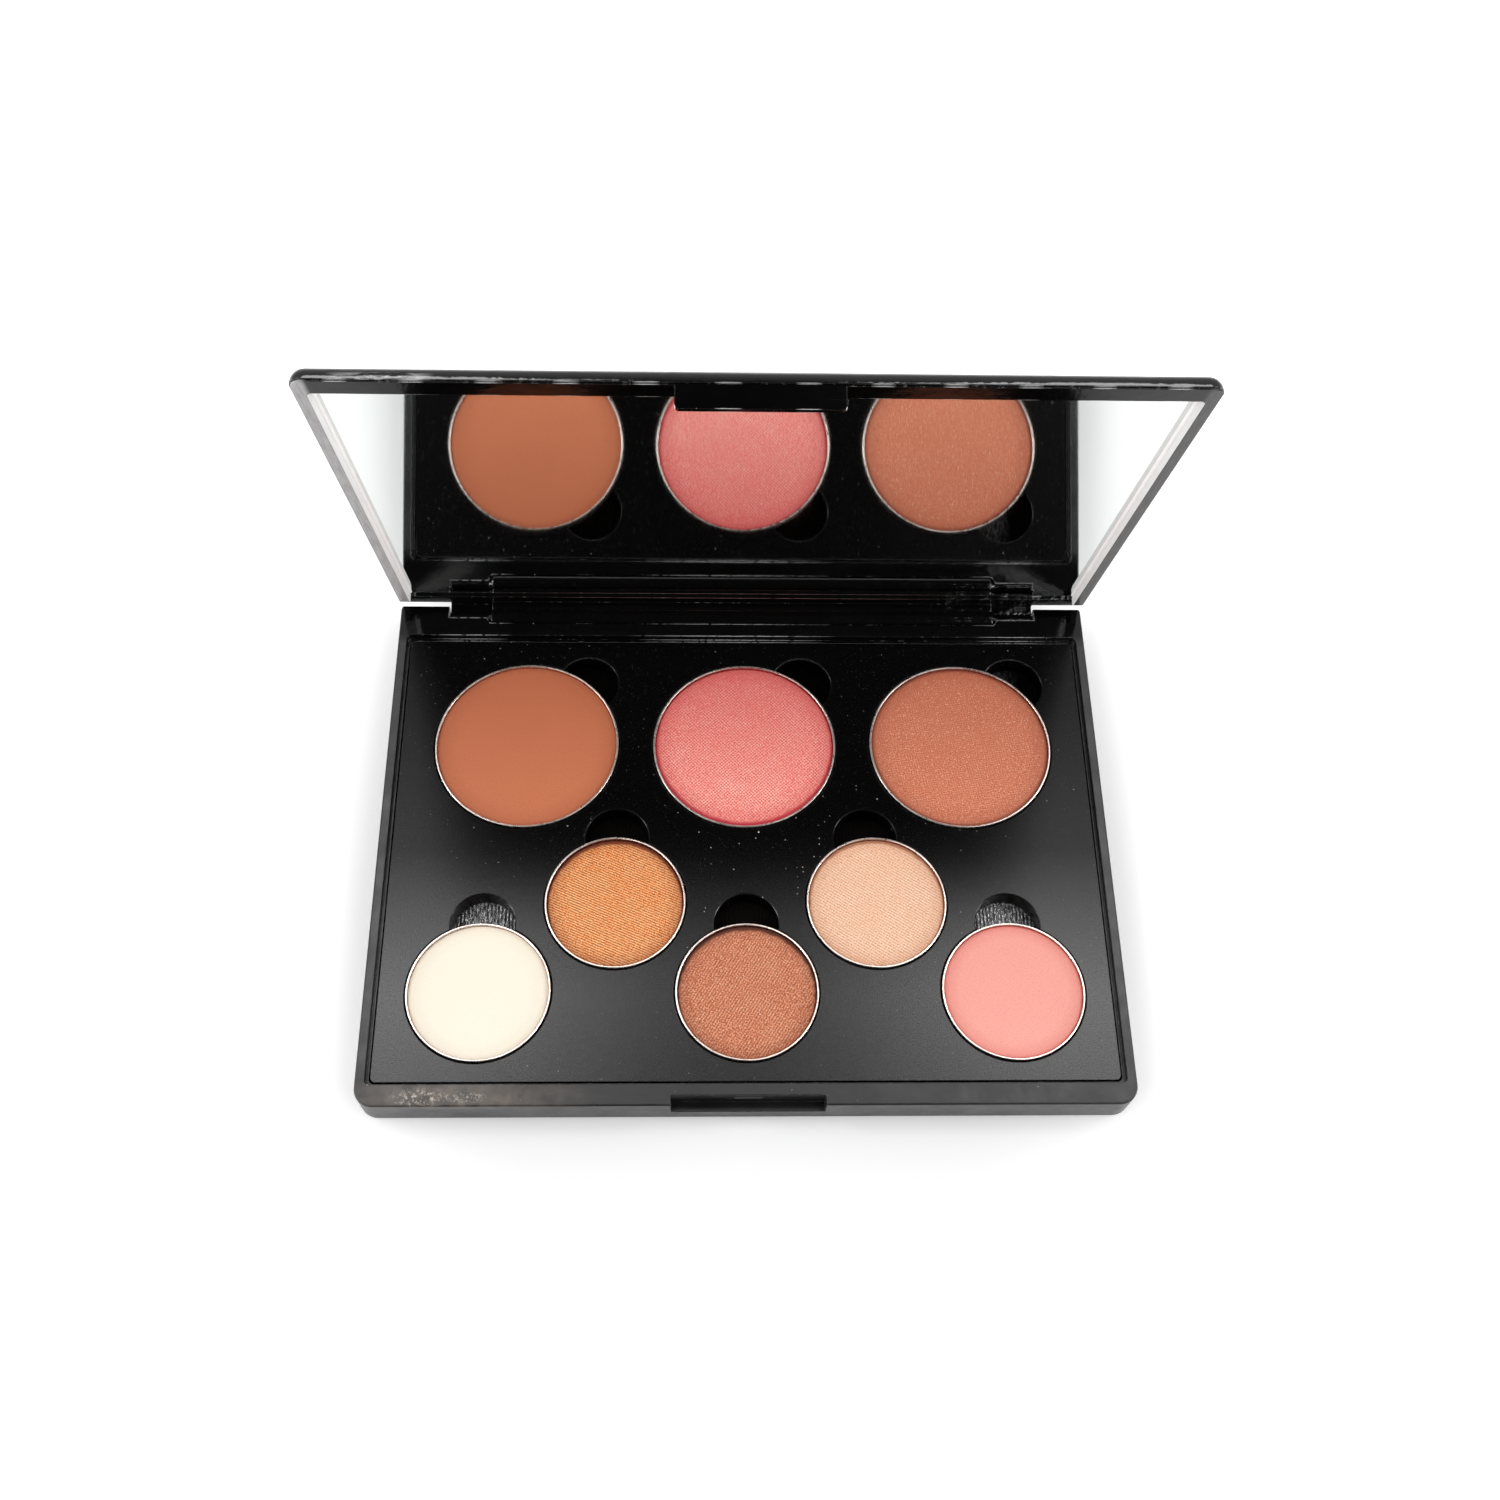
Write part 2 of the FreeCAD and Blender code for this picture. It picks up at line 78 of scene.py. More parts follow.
class Tree:
    """A node tree, with short calls that add and join nodes."""

    def __init__(self, tree):
        self.tree = tree

    def feed(self, socket, value):
        """Joins a socket to another one, or sets its value."""
        if isinstance(value, bpy.types.NodeSocket):
            self.tree.links.new(value, socket)
        else:
            socket.default_value = value

    def add(self, kind, inputs=None, **settings):
        made = self.tree.nodes.new(kind)
        for name, value in settings.items():
            setattr(made, name, value)
        for name, value in (inputs or {}).items():
            self.feed(made.inputs[name], value)
        return made

    def math(self, operation, first, second=0.0):
        made = self.add("ShaderNodeMath", operation=operation)
        self.feed(made.inputs[0], first)
        self.feed(made.inputs[1], second)
        return made.outputs[0]

    def times(self, product, *factors):
        """The product of several values."""
        for factor in factors:
            product = self.math("MULTIPLY", product, factor)
        return product

    def vector(self, operation, first, second=(0, 0, 0)):
        made = self.add("ShaderNodeVectorMath", operation=operation)
        self.feed(made.inputs[0], first)
        self.feed(made.inputs[1], second)
        return made.outputs["Value" if operation in ("DOT_PRODUCT", "LENGTH") else "Vector"]

    def fade(self, value, start, stop, first, last):
        """A smooth step from the first result to the last, between two values."""
        inputs = {"From Min": start, "From Max": stop, "To Min": first, "To Max": last}
        made = self.add("ShaderNodeMapRange", inputs, interpolation_type="SMOOTHSTEP")
        self.feed(made.inputs["Value"], value)
        return made.outputs[0]


# A wave texture of scale 1 repeats after this length
WAVE_LENGTH = math.pi / 10

# Specks of dust: how softly their cells are chosen, and the share of their reach that is solid
DUST_CHOICE = 0.03
DUST_CORE = 0.6


class Nodes(Tree):
    """A material's node tree. Lengths are in millimetres."""

    def __init__(self, name):
        self.material = bpy.data.materials.new(name)
        self.material.use_nodes = True
        super().__init__(self.material.node_tree)
        self.shader = self.tree.nodes["Principled BSDF"]
        self.coordinates = self.add("ShaderNodeTexCoord").outputs
        self.place = self.vector("MULTIPLY", self.coordinates["Object"], (1 / MM, 1 / MM, 1 / MM))

    def set(self, **values):
        """Sets or joins the shader's own sockets, named with spaces as underscores."""
        for name, value in values.items():
            self.feed(self.shader.inputs[name.replace("_", " ")], value)

    def stretched(self, factors):
        """The place, scaled along each axis: a pattern is longer where the factor is small."""
        return self.vector("MULTIPLY", self.place, factors)

    def along(self, axis):
        """The place along one of the object's axes."""
        return self.add("ShaderNodeSeparateXYZ", {"Vector": self.place}).outputs[axis]

    def backward(self):
        """The place from the tray's front, at 0, to its back, at 1."""
        ahead = self.math("ADD", self.along("Y"), TRAY_HALF_DEPTH)
        return self.times(ahead, 1 / (2 * TRAY_HALF_DEPTH))

    def centred(self, share):
        """A share from 0 to 1, moved to lie about 0."""
        return self.math("SUBTRACT", share, 0.5)

    def noise(self, size, detail=2.0, rough=0.5, place=None):
        """Cloudy noise whose blobs are about size across."""
        inputs = {"Scale": 1 / size, "Detail": detail, "Roughness": rough}
        inputs["Vector"] = place or self.place
        return self.add("ShaderNodeTexNoise", inputs).outputs["Fac"]

    def wave(self, place, axis, pitch, distortion, detail, detail_scale):
        """Uneven bands across an axis, a pitch apart."""
        inputs = {"Vector": place, "Scale": WAVE_LENGTH / pitch, "Distortion": distortion}
        inputs.update({"Detail": detail, "Detail Scale": detail_scale})
        return self.add("ShaderNodeTexWave", inputs, bands_direction=axis).outputs["Fac"]

    def dust(self, size, rarity, reach):
        """Small round specks, in a few of the cells about size across."""
        cells = self.add("ShaderNodeTexVoronoi", {"Scale": 1 / size, "Vector": self.place}).outputs
        draw = self.add("ShaderNodeSeparateColor", {"Color": cells["Color"]}).outputs["Red"]
        chosen = self.ramp(draw, (rarity, 0.0), (min(rarity + DUST_CHOICE, 1.0), 1.0))
        speck = self.ramp(cells["Distance"], (reach * DUST_CORE, 1.0), (reach, 0.0))
        return self.times(chosen, speck)

    def ramp(self, factor, *stops):
        """A colour ramp through (position, grey or colour) stops."""
        made = self.add("ShaderNodeValToRGB", {"Fac": factor})
        points = made.color_ramp.elements
        while len(points) < len(stops):
            points.new(1.0)
        for point, (position, tone) in zip(points, stops):
            point.position = position
            point.color = tone if isinstance(tone, tuple) else grey(tone)
        return made.outputs["Color"]

    def mix(self, factor, first, second):
        """The first colour, or the second where the factor is 1."""
        made = self.add("ShaderNodeMix", data_type="RGBA")
        for socket, value in ((0, factor), (6, first), (7, second)):
            self.feed(made.inputs[socket], value)
        return made.outputs[2]

    def bump(self, height, depth, normal=None):
        inputs = {"Height": height, "Distance": depth * MM, "Strength": 1.0}
        if normal:
            inputs["Normal"] = normal
        return self.add("ShaderNodeBump", inputs).outputs["Normal"]

    def rounded(self, radius):
        """A normal that rounds the edges over a radius, and a mask that is 1 on them."""
        bevel = self.add("ShaderNodeBevel", {"Radius": radius * MM}, samples=6)
        normal = bevel.outputs["Normal"]
        plain = self.add("ShaderNodeNewGeometry").outputs["Normal"]
        bend = self.vector("DOT_PRODUCT", normal, plain)
        return normal, self.ramp(bend, (0.80, 1.0), (0.985, 0.0))

    def patch(self, centre, reach):
        """A soft-edged mask, 1 at a place on the object and 0 beyond its reach along each axis."""
        apart = self.vector("SUBTRACT", self.place, centre)
        shares = self.vector("DIVIDE", apart, reach)
        return self.ramp(self.vector("LENGTH", shares), (0.35, 1.0), (1.0, 0.0))


# Black plastic: tones, among them the pale of worn edges that is partly painted highlight and the
# white of painted glints, sizes of its marks in millimetres, how much its hairlines show
BLACK_CLEAN = srgb(2, 2, 2)
BLACK_HAZY = srgb(7, 7, 7)
HAIRLINE_TONE = srgb(150, 148, 145)
EDGE_WEAR_AND_HIGHLIGHT_TONE = srgb(216, 214, 212)
PAINTED_GLINT_TONE = srgb(252, 252, 252)
BLACK_IOR = 1.52
BLACK_EDGE = 0.25
HAZE_SIZE = 14.0
WEAR_SIZE = 1.3
HAIRLINE_SIZE = 1.3
HAIRLINE_STRETCH = (0.12, 2.2, 1.0)
HAIRLINE_SHARE = 0.015


def gloss_black(name, worn=0.30, ripple_size=2.4, ripple_depth=0.03, flat=None):
    """Glossy black moulded plastic with hazy handling marks, hairline scratches, and pale worn
    edges that are partly painted highlight.

    Its sheen ripples, and is calm on faces that look the flat way.
    """
    nodes = Nodes(name)
    normal, nodes.edge = nodes.rounded(BLACK_EDGE)
    haze = nodes.noise(HAZE_SIZE, 3.0, 0.6)
    ripple = nodes.noise(ripple_size, 3.0)
    if flat:
        facing = nodes.vector("DOT_PRODUCT", nodes.coordinates["Normal"], flat)
        ripple = nodes.times(ripple, nodes.ramp(facing, (0.90, 1.0), (0.985, 0.08)))
    hairlines = nodes.noise(HAIRLINE_SIZE, 3.0, 0.6, nodes.stretched(HAIRLINE_STRETCH))
    hairlines = nodes.ramp(hairlines, (0.68, 0.0), (0.74, 1.0))
    wear = nodes.ramp(nodes.noise(WEAR_SIZE, 4.0, 0.7), (0.55, 0.0), (0.68, 1.0))
    tone = nodes.mix(haze, BLACK_CLEAN, BLACK_HAZY)
    tone = nodes.mix(nodes.times(hairlines, HAIRLINE_SHARE), tone, HAIRLINE_TONE)
    # Pale edges: partly wear, partly painted highlight
    tone = nodes.mix(nodes.times(nodes.edge, wear, worn), tone, EDGE_WEAR_AND_HIGHLIGHT_TONE)
    rough = nodes.ramp(haze, (0.30, 0.05), (0.70, 0.12))
    nodes.set(Normal=nodes.bump(ripple, ripple_depth, normal), IOR=BLACK_IOR)
    return nodes, tone, rough


# Tray's marks and painted glints by the hinge: places and reaches in millimetres, tones, and how
# much they show
SMUDGE = ((-52.0, -50.4, 8.5), (26.0, 4.0, 3.0))
SMUDGE_TONE = srgb(214, 190, 170)
SMUDGE_SHARE = 0.16
SCUFFS = (
    ((-58.0, -50.6, 8.5), (6.0, 1.9, 2.0), 0.8),
    ((-50.0, -50.6, 8.5), (4.0, 1.3, 2.0), 0.5),
)
SCUFF_TONE = srgb(226, 214, 198)
STAIN = ((-57.2, -50.7, 8.5), (1.1, 0.8, 2.0))
STAIN_TONE = srgb(46, 40, 36)
STAIN_SHARE = 0.8
REAR_PAINTED_GLINTS = (
    ((-55.5, 46.8, 8.2), (9.0, 5.0, 3.0)),
    ((55.5, 46.8, 8.2), (9.0, 5.0, 3.0)),
    ((-2.0, 46.0, 8.0), (22.0, 5.0, 3.0)),
)
TRAY_DUST = (1.3, 0.90, 0.08)
TRAY_DUST_TONE = srgb(220, 216, 210)


def tray_plastic():
    """The tray's black plastic: dull, glossy by the hinge, scuffed near its front left corner, with
    painted glints on its edges by the hinge.
    """
    nodes, tone, rough = gloss_black("tray_plastic")
    film = nodes.ramp(nodes.noise(2.6, 4.0, 0.6), (0.30, 0.2), (0.70, 1.0))
    tone = nodes.mix(nodes.times(nodes.patch(*SMUDGE), film, SMUDGE_SHARE), tone, SMUDGE_TONE)
    marks = nodes.ramp(nodes.noise(0.55, 5.0, 0.7), (0.50, 0.0), (0.64, 1.0))
    for centre, reach, share in SCUFFS:
        scuff = nodes.times(nodes.patch(centre, reach), marks, share)
        tone = nodes.mix(scuff, tone, SCUFF_TONE)
    tone = nodes.mix(nodes.times(nodes.patch(*STAIN), STAIN_SHARE), tone, STAIN_TONE)
    broken = nodes.ramp(nodes.noise(0.8, 3.0, 0.6), (0.36, 0.0), (0.46, 1.0))
    # Painted glints: white on the rounded edges by the hinge
    for centre, reach in REAR_PAINTED_GLINTS:
        glint = nodes.times(nodes.patch(centre, reach), nodes.edge, broken)
        tone = nodes.mix(glint, tone, PAINTED_GLINT_TONE)
    tone = nodes.mix(nodes.dust(*TRAY_DUST), tone, TRAY_DUST_TONE)
    dull = nodes.ramp(nodes.noise(5.0, 4.0, 0.65), (0.30, 0.30), (0.70, 0.42))
    rough = nodes.mix(nodes.ramp(nodes.backward(), (0.90, 1.0), (0.94, 0.0)), rough, dull)
    nodes.set(Base_Color=tone, Roughness=rough)
    return nodes.material


# Lid's painted reflection, painted glints and painted highlight streak: places and reaches in
# millimetres, tones, and how much they show
LIP = ((0.0, 47.5, 12.5), (66.0, 6.0, 6.0))
LIP_REFLECTION_TONE = srgb(226, 164, 148)
LIP_REFLECTION_SHARE = 0.8
PAINTED_GLINT_PITCH = 11.4
CROWN_HEIGHT = 110
STREAK = ((-56.0, 29.0, 105.0), (9.0, 8.0, 4.0))
STREAK_HIGHLIGHT_TONE = srgb(240, 240, 240)
STREAK_SHARE = 0.7
STREAK_STRETCH = (0.22, 1.0, 1.0)


def lip_painted_reflection(nodes, tone):
    """Painted reflection of the powders, pink along the lid's edges beside the hinge."""
    reflection_breaks = nodes.ramp(nodes.noise(1.6, 4.0, 0.7), (0.36, 0.0), (0.52, 1.0))
    lip = nodes.times(nodes.patch(*LIP), nodes.edge, reflection_breaks, LIP_REFLECTION_SHARE)
    # Painted reflection of the powders in the lid's lower edges
    return nodes.mix(lip, tone, LIP_REFLECTION_TONE)


def painted_crown_glints(nodes, tone):
    """Painted glints: short white dashes along the lid's top edges, evenly apart."""
    bands = nodes.wave(nodes.place, "X", PAINTED_GLINT_PITCH, 2.0, 1.0, 0.6)
    spots = nodes.ramp(bands, (0.72, 0.0), (0.95, 1.0))
    height = nodes.times(nodes.along("Z"), 1 / CROWN_HEIGHT)
    top = nodes.ramp(height, (0.88, 0.0), (0.90, 1.0))
    # Painted glints: white dashes on the top edges
    return nodes.mix(nodes.times(spots, top, nodes.edge), tone, PAINTED_GLINT_TONE)


def crown_highlight_streak(nodes, tone):
    """A longer painted highlight streak on the lid's top edge, near its left end and off the lid's
    back.
    """
    marks = nodes.noise(0.8, 3.0, 0.6, nodes.stretched(STREAK_STRETCH))
    marks = nodes.ramp(marks, (0.46, 0.0), (0.60, 1.0))
    normal = nodes.add("ShaderNodeSeparateXYZ", {"Vector": nodes.coordinates["Normal"]}).outputs
    ahead = nodes.ramp(normal["Y"], (0.05, STREAK_SHARE), (0.25, 0.0))
    # Painted highlight: pale streaks on faces that look forward
    return nodes.mix(nodes.times(nodes.patch(*STREAK), marks, ahead), tone, STREAK_HIGHLIGHT_TONE)


def lid_plastic():
    """The lid's black plastic, with a broad ripple in its rounded edges and a calm flat back,
    painted glints and a painted highlight streak on its top edges, and a painted reflection of the
    powders by the hinge.
    """
    flat = (0, math.sin(LID_OPENING), math.cos(LID_OPENING))
    nodes, tone, rough = gloss_black("lid_plastic", 0.30, 4.5, 0.14, flat)
    tone = crown_highlight_streak(nodes, painted_crown_glints(nodes, lip_painted_reflection(nodes, tone)))
    nodes.set(Base_Color=tone, Roughness=rough)
    return nodes.material


# Mirror frame: tones, how much the painted reflection on its side rims shows, roughness of its
# ground walls, which are painted pale as painted reflection, sheen
RIM_REFLECTION_TONE = srgb(205, 203, 204)
RIM_REFLECTION_SHARES = ((-1, 0.75), (1, 0.14))
RIM_STRETCH = (1.0, 0.12, 0.12)
PAINTED_WALL_TONE = srgb(246, 247, 247)
GROUND_ROUGHNESS = 0.6
FRAME_SHEEN = 0.14


def frame_plastic():
    """The mirror frame's black plastic, with painted glints on its top edges, a painted reflection
    of the powders by the hinge, and a streaked painted reflection on its side rims, the left one
    pale.

    Its walls beside the mirror are ground, and painted pale as a painted reflection.
    """
    nodes, tone, rough = gloss_black("frame_plastic", 0.60)
    tone = painted_crown_glints(nodes, lip_painted_reflection(nodes, tone))
    side = nodes.along("X")
    streaks = nodes.noise(0.5, 4.0, 0.65, nodes.stretched(RIM_STRETCH))
    streaks = nodes.ramp(streaks, (0.30, 0.70), (0.65, 1.0))
    # Painted reflection on the side rims, streaked, strongest on the left
    for way, share in RIM_REFLECTION_SHARES:
        outward = nodes.times(side, way / LID_HALF_WIDTH)
        rim = nodes.ramp(outward, (0.955, 0.0), (0.966, 1.0))
        tone = nodes.mix(nodes.times(rim, streaks, share), tone, RIM_REFLECTION_TONE)
    normal = nodes.add("ShaderNodeNewGeometry").outputs["Normal"]
    facing = nodes.add("ShaderNodeSeparateXYZ", {"Vector": normal}).outputs["X"]
    wall = nodes.ramp(nodes.math("ABSOLUTE", facing), (0.75, 0.0), (0.85, 1.0))
    outward = nodes.math("ABSOLUTE", nodes.times(side, 1 / LID_HALF_WIDTH))
    ground = nodes.times(wall, nodes.ramp(outward, (0.9665, 1.0), (0.9685, 0.0)))
    # Walls beside the mirror painted pale as painted reflection; their roughness is real
    tone = nodes.mix(ground, tone, PAINTED_WALL_TONE)
    rough = nodes.mix(ground, rough, grey(GROUND_ROUGHNESS))
    nodes.set(Base_Color=tone, Roughness=rough, Specular_IOR_Level=FRAME_SHEEN)
    return nodes.material


# Panel: tones, among them a painted highlight on its back edge, sizes in millimetres, where dust
# lies thickest, and its specks of dust
PANEL_TONES = (srgb(0, 0, 0), srgb(5, 5, 5))
PANEL_EDGE = 0.12
PANEL_EDGE_HIGHLIGHT_TONE = srgb(190, 188, 186)
PANEL_IOR = 1.46
PANEL_GRAIN = 0.30
PANEL_GRAIN_DEPTH = 0.010
PANEL_SPARKLE = (0.45, 0.86, 0.26)
PANEL_SPARKLE_TONE = srgb(52, 50, 50)
DUSTY_PATCH = ((6.0, -6.0, 7.2), (50.0, 26.0, 8.0))
DUSTY_SHARE = 0.75
DUSTY_LEAST = 0.20
PANEL_DUST = (
    ((1.1, 0.76, 0.12), srgb(190, 186, 182)),
    ((2.6, 0.74, 0.065), srgb(250, 248, 245)),
)


def panel_plastic():
    """Black panel with a fine grain and pale specks of dust, thickest between the pans, and a
    painted highlight along its back edge.

    Its sheen is weaker towards the hinge.
    """
    nodes = Nodes("panel_plastic")
    normal, edge = nodes.rounded(PANEL_EDGE)
    grain = nodes.noise(PANEL_GRAIN, 3.0, 0.7)
    tone = nodes.mix(grain, *PANEL_TONES)
    tone = nodes.mix(nodes.dust(*PANEL_SPARKLE), tone, PANEL_SPARKLE_TONE)
    thick = nodes.math("ADD", nodes.times(nodes.patch(*DUSTY_PATCH), DUSTY_SHARE), DUSTY_LEAST)
    for specks, speck_tone in PANEL_DUST:
        tone = nodes.mix(nodes.times(nodes.dust(*specks), thick), tone, speck_tone)
    # Painted highlight along the panel's rounded back edge
    behind = nodes.times(nodes.along("Y"), 1 / TRAY_HALF_DEPTH)
    behind = nodes.ramp(behind, (0.74, 0.06), (0.78, 0.6))
    tone = nodes.mix(nodes.times(edge, behind), tone, PANEL_EDGE_HIGHLIGHT_TONE)
    rough = nodes.ramp(nodes.noise(0.20, 3.0, 0.7), (0.36, 0.21), (0.64, 0.31))
    sheen = nodes.ramp(nodes.backward(), (0.20, 0.5), (0.48, 0.16))
    nodes.set(Base_Color=tone, Normal=nodes.bump(grain, PANEL_GRAIN_DEPTH, normal))
    nodes.set(Roughness=rough, IOR=PANEL_IOR, Specular_IOR_Level=sheen)
    return nodes.material


# Magnetic sheet: pans whose finger notches show it rubbed shiny, reach of a rubbed spot and
# height of its middle in millimetres, tones
RUBBED = ("large_right", "front_left", "front_right")
RUBBED_REACH = (14.0, 14.0, 9.0)
RUBBED_HEIGHT = 2.8
RUBBER_TONE = srgb(9, 6, 5)
RUBBED_TONE = srgb(150, 150, 152)
RUBBER_STRETCH = (1.0, 0.35, 1.0)


def magnet_rubber():
    """Dull dark magnetic rubber, rubbed shiny under some notches so that its ridges glint."""
    nodes = Nodes("magnet_rubber")
    streaks = nodes.noise(0.35, 4.0, 0.7, nodes.stretched(RUBBER_STRETCH))
    shine = None
    for name in RUBBED:
        low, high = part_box("pan_" + name)
        centre = ((low.x + high.x) / 2 / MM, high.y / MM, RUBBED_HEIGHT)
        spot = nodes.patch(centre, RUBBED_REACH)
        shine = nodes.math("MAXIMUM", shine, spot) if shine else spot
    glint = nodes.times(shine, nodes.ramp(streaks, (0.48, 0.0), (0.56, 1.0)))
    nodes.set(Base_Color=nodes.mix(glint, RUBBER_TONE, RUBBED_TONE), Metallic=glint)
    nodes.set(Roughness=nodes.mix(shine, grey(0.75), grey(0.22)))
    nodes.set(Specular_IOR_Level=nodes.mix(shine, grey(0.05), grey(0.8)))
    nodes.set(Normal=nodes.bump(streaks, 0.08))
    return nodes.material


def pan_metal():
    """Bright pressed tinplate with a faint unevenness and a few dull spots."""
    nodes = Nodes("pan_metal")
    spots = nodes.noise(1.2, 4.0, 0.6)
    tone = nodes.mix(spots, srgb(214, 196, 186), srgb(240, 228, 220))
    nodes.set(Base_Color=tone, Roughness=nodes.ramp(spots, (0.3, 0.22), (0.7, 0.38)))
    nodes.set(Normal=nodes.bump(nodes.noise(0.6, 2.0), 0.006), Metallic=1.0)
    return nodes.material


def pin_steel():
    """Drawn steel wire with lengthwise lines."""
    nodes = Nodes("pin_steel")
    drawn = nodes.noise(0.15, 3.0, 0.6, nodes.stretched((0.05, 1.0, 1.0)))
    nodes.set(Base_Color=nodes.mix(drawn, srgb(150, 150, 152), srgb(205, 205, 206)))
    nodes.set(Roughness=nodes.ramp(drawn, (0.3, 0.25), (0.7, 0.4)), Metallic=1.0)
    return nodes.material


def mirror_glass():
    """Silvered mirror with a faint haze of finger marks."""
    nodes = Nodes("mirror_glass")
    smears = nodes.noise(16.0, 4.0, 0.65, nodes.stretched((1.0, 0.4, 0.4)))
    smears = nodes.ramp(smears, (0.50, 0.0), (0.80, 1.0))
    tone = nodes.mix(smears, srgb(240, 243, 242), srgb(235, 239, 238))
    rough = nodes.ramp(smears, (0.0, 0.035), (1.0, 0.06))
    nodes.set(Base_Color=tone, Roughness=rough, Metallic=1.0)
    return nodes.material


def tape_paper():
    """Pale double-sided tape with a fibrous tissue carrier."""
    nodes = Nodes("tape_paper")
    fibres = nodes.noise(0.9, 5.0, 0.7, nodes.stretched((1.0, 0.3, 0.3)))
    nodes.set(Base_Color=nodes.mix(fibres, srgb(206, 200, 186), srgb(234, 230, 220)))
    nodes.set(Normal=nodes.bump(fibres, 0.02), Roughness=0.7)
    return nodes.material


def bead_paste():
    """Pale bonding compound with a slightly lumpy skin."""
    nodes = Nodes("bead_paste")
    lumps = nodes.noise(0.8, 3.0, 0.6)
    nodes.set(Base_Color=nodes.mix(lumps, srgb(244, 245, 245), srgb(252, 252, 252)))
    nodes.set(Normal=nodes.bump(lumps, 0.01), Roughness=0.5)
    return nodes.material


# Each powder: its tone, its dark and light tones, which paint shade and highlight on the weave's
# sunken and raised parts, and its edge's tone; its weave's pitch in millimetres and turn in
# degrees, how much the weave shows, and the share of the weave across it;
# its grain and sparkle; how far its edge is notched in millimetres, how much painted shade darkens
# it towards the hinge, and how much wider its dark edge, partly painted shade, is towards the
# hinge, or towards the front below 0
POWDERS = {
    "large_left": dict(
        tone=srgb(199, 116, 80), light=srgb(212, 128, 90),
        dark=srgb(176, 96, 64), edge=srgb(176, 96, 66),
        pitch=0.50, turn=0.0, weave=0.10, cross=0.50, grain=0.25, sparkle=0.00,
        notch=0.02, shade=0.80, lean=0.0,
    ),
    "large_middle": dict(
        tone=srgb(247, 134, 124), light=srgb(255, 206, 192),
        dark=srgb(206, 80, 80), edge=srgb(190, 46, 62),
        pitch=0.50, turn=42.0, weave=0.75, cross=0.50, grain=0.60, sparkle=0.30,
        notch=0.12, shade=0.62, lean=-0.02,
    ),
    "large_right": dict(
        tone=srgb(210, 121, 90), light=srgb(232, 162, 130),
        dark=srgb(166, 86, 62), edge=srgb(140, 68, 48),
        pitch=0.48, turn=10.0, weave=0.35, cross=0.50, grain=0.60, sparkle=0.40,
        notch=0.03, shade=0.48, lean=0.0,
    ),
    "middle_left": dict(
        tone=srgb(240, 137, 70), light=srgb(255, 206, 146),
        dark=srgb(146, 70, 32), edge=srgb(112, 46, 26),
        pitch=0.47, turn=-24.0, weave=1.00, cross=0.10, grain=0.70, sparkle=0.35,
        notch=0.22, shade=0.10, lean=0.045,
    ),
    "middle_right": dict(
        tone=srgb(245, 191, 157), light=srgb(255, 228, 204),
        dark=srgb(206, 146, 112), edge=srgb(176, 116, 88),
        pitch=0.52, turn=-32.0, weave=0.80, cross=0.25, grain=0.60, sparkle=0.30,
        notch=0.08, shade=0.10, lean=0.03,
    ),
    "front_left": dict(
        tone=srgb(251, 244, 226), light=srgb(253, 248, 234),
        dark=srgb(240, 226, 204), edge=srgb(240, 228, 212),
        pitch=0.50, turn=0.0, weave=0.08, cross=0.50, grain=0.20, sparkle=0.00,
        notch=0.02, shade=0.15, lean=0.0,
    ),
    "front_middle": dict(
        tone=srgb(200, 111, 75), light=srgb(240, 180, 144),
        dark=srgb(134, 70, 46), edge=srgb(86, 40, 28),
        pitch=0.52, turn=58.0, weave=0.50, cross=0.25, grain=0.75, sparkle=0.35,
        notch=0.18, shade=0.05, lean=0.045,
    ),
    "front_right": dict(
        tone=srgb(249, 169, 156), light=srgb(253, 184, 170),
        dark=srgb(226, 128, 118), edge=srgb(232, 134, 126),
        pitch=0.60, turn=40.0, weave=0.06, cross=0.10, grain=0.25, sparkle=0.05,
        notch=0.05, shade=0.15, lean=0.0,
    ),
}

# All powders: sizes of clouds, grain and clumps in millimetres, rise of the grain against the
# weave, how ragged the dark edge is, sparkle, depth of the print in millimetres
CLOUD_SIZE = 7.0
GRAIN_SIZE = 0.26
GRAIN_RISE = 3.0
CLUMP_SIZE = 1.4
CLUMP_SHARE = 1.6
EDGE_RAGGED = 0.03
SPARKLE_DUST = (0.30, 0.90, 0.5)
SPARKLE_TONE = srgb(255, 224, 190)
PRINT_DEPTH = 0.03
POWDER_ROUGHNESS = 0.60
POWDER_SHEEN = 0.25


def press_weave(nodes, style):
    """The press cloth's print: ribs one way, and a share of ribs across them."""
    inputs = {"Vector": nodes.place, "Angle": math.radians(-style["turn"])}
    turned = nodes.add("ShaderNodeVectorRotate", inputs, rotation_type="Z_AXIS").outputs["Vector"]
    ribs, cross = (nodes.wave(turned, axis, style["pitch"], 1.2, 2.0, 2.0) for axis in "YX")
    share = style["cross"]
    return nodes.math("ADD", nodes.times(ribs, 1 - share), nodes.times(cross, share))


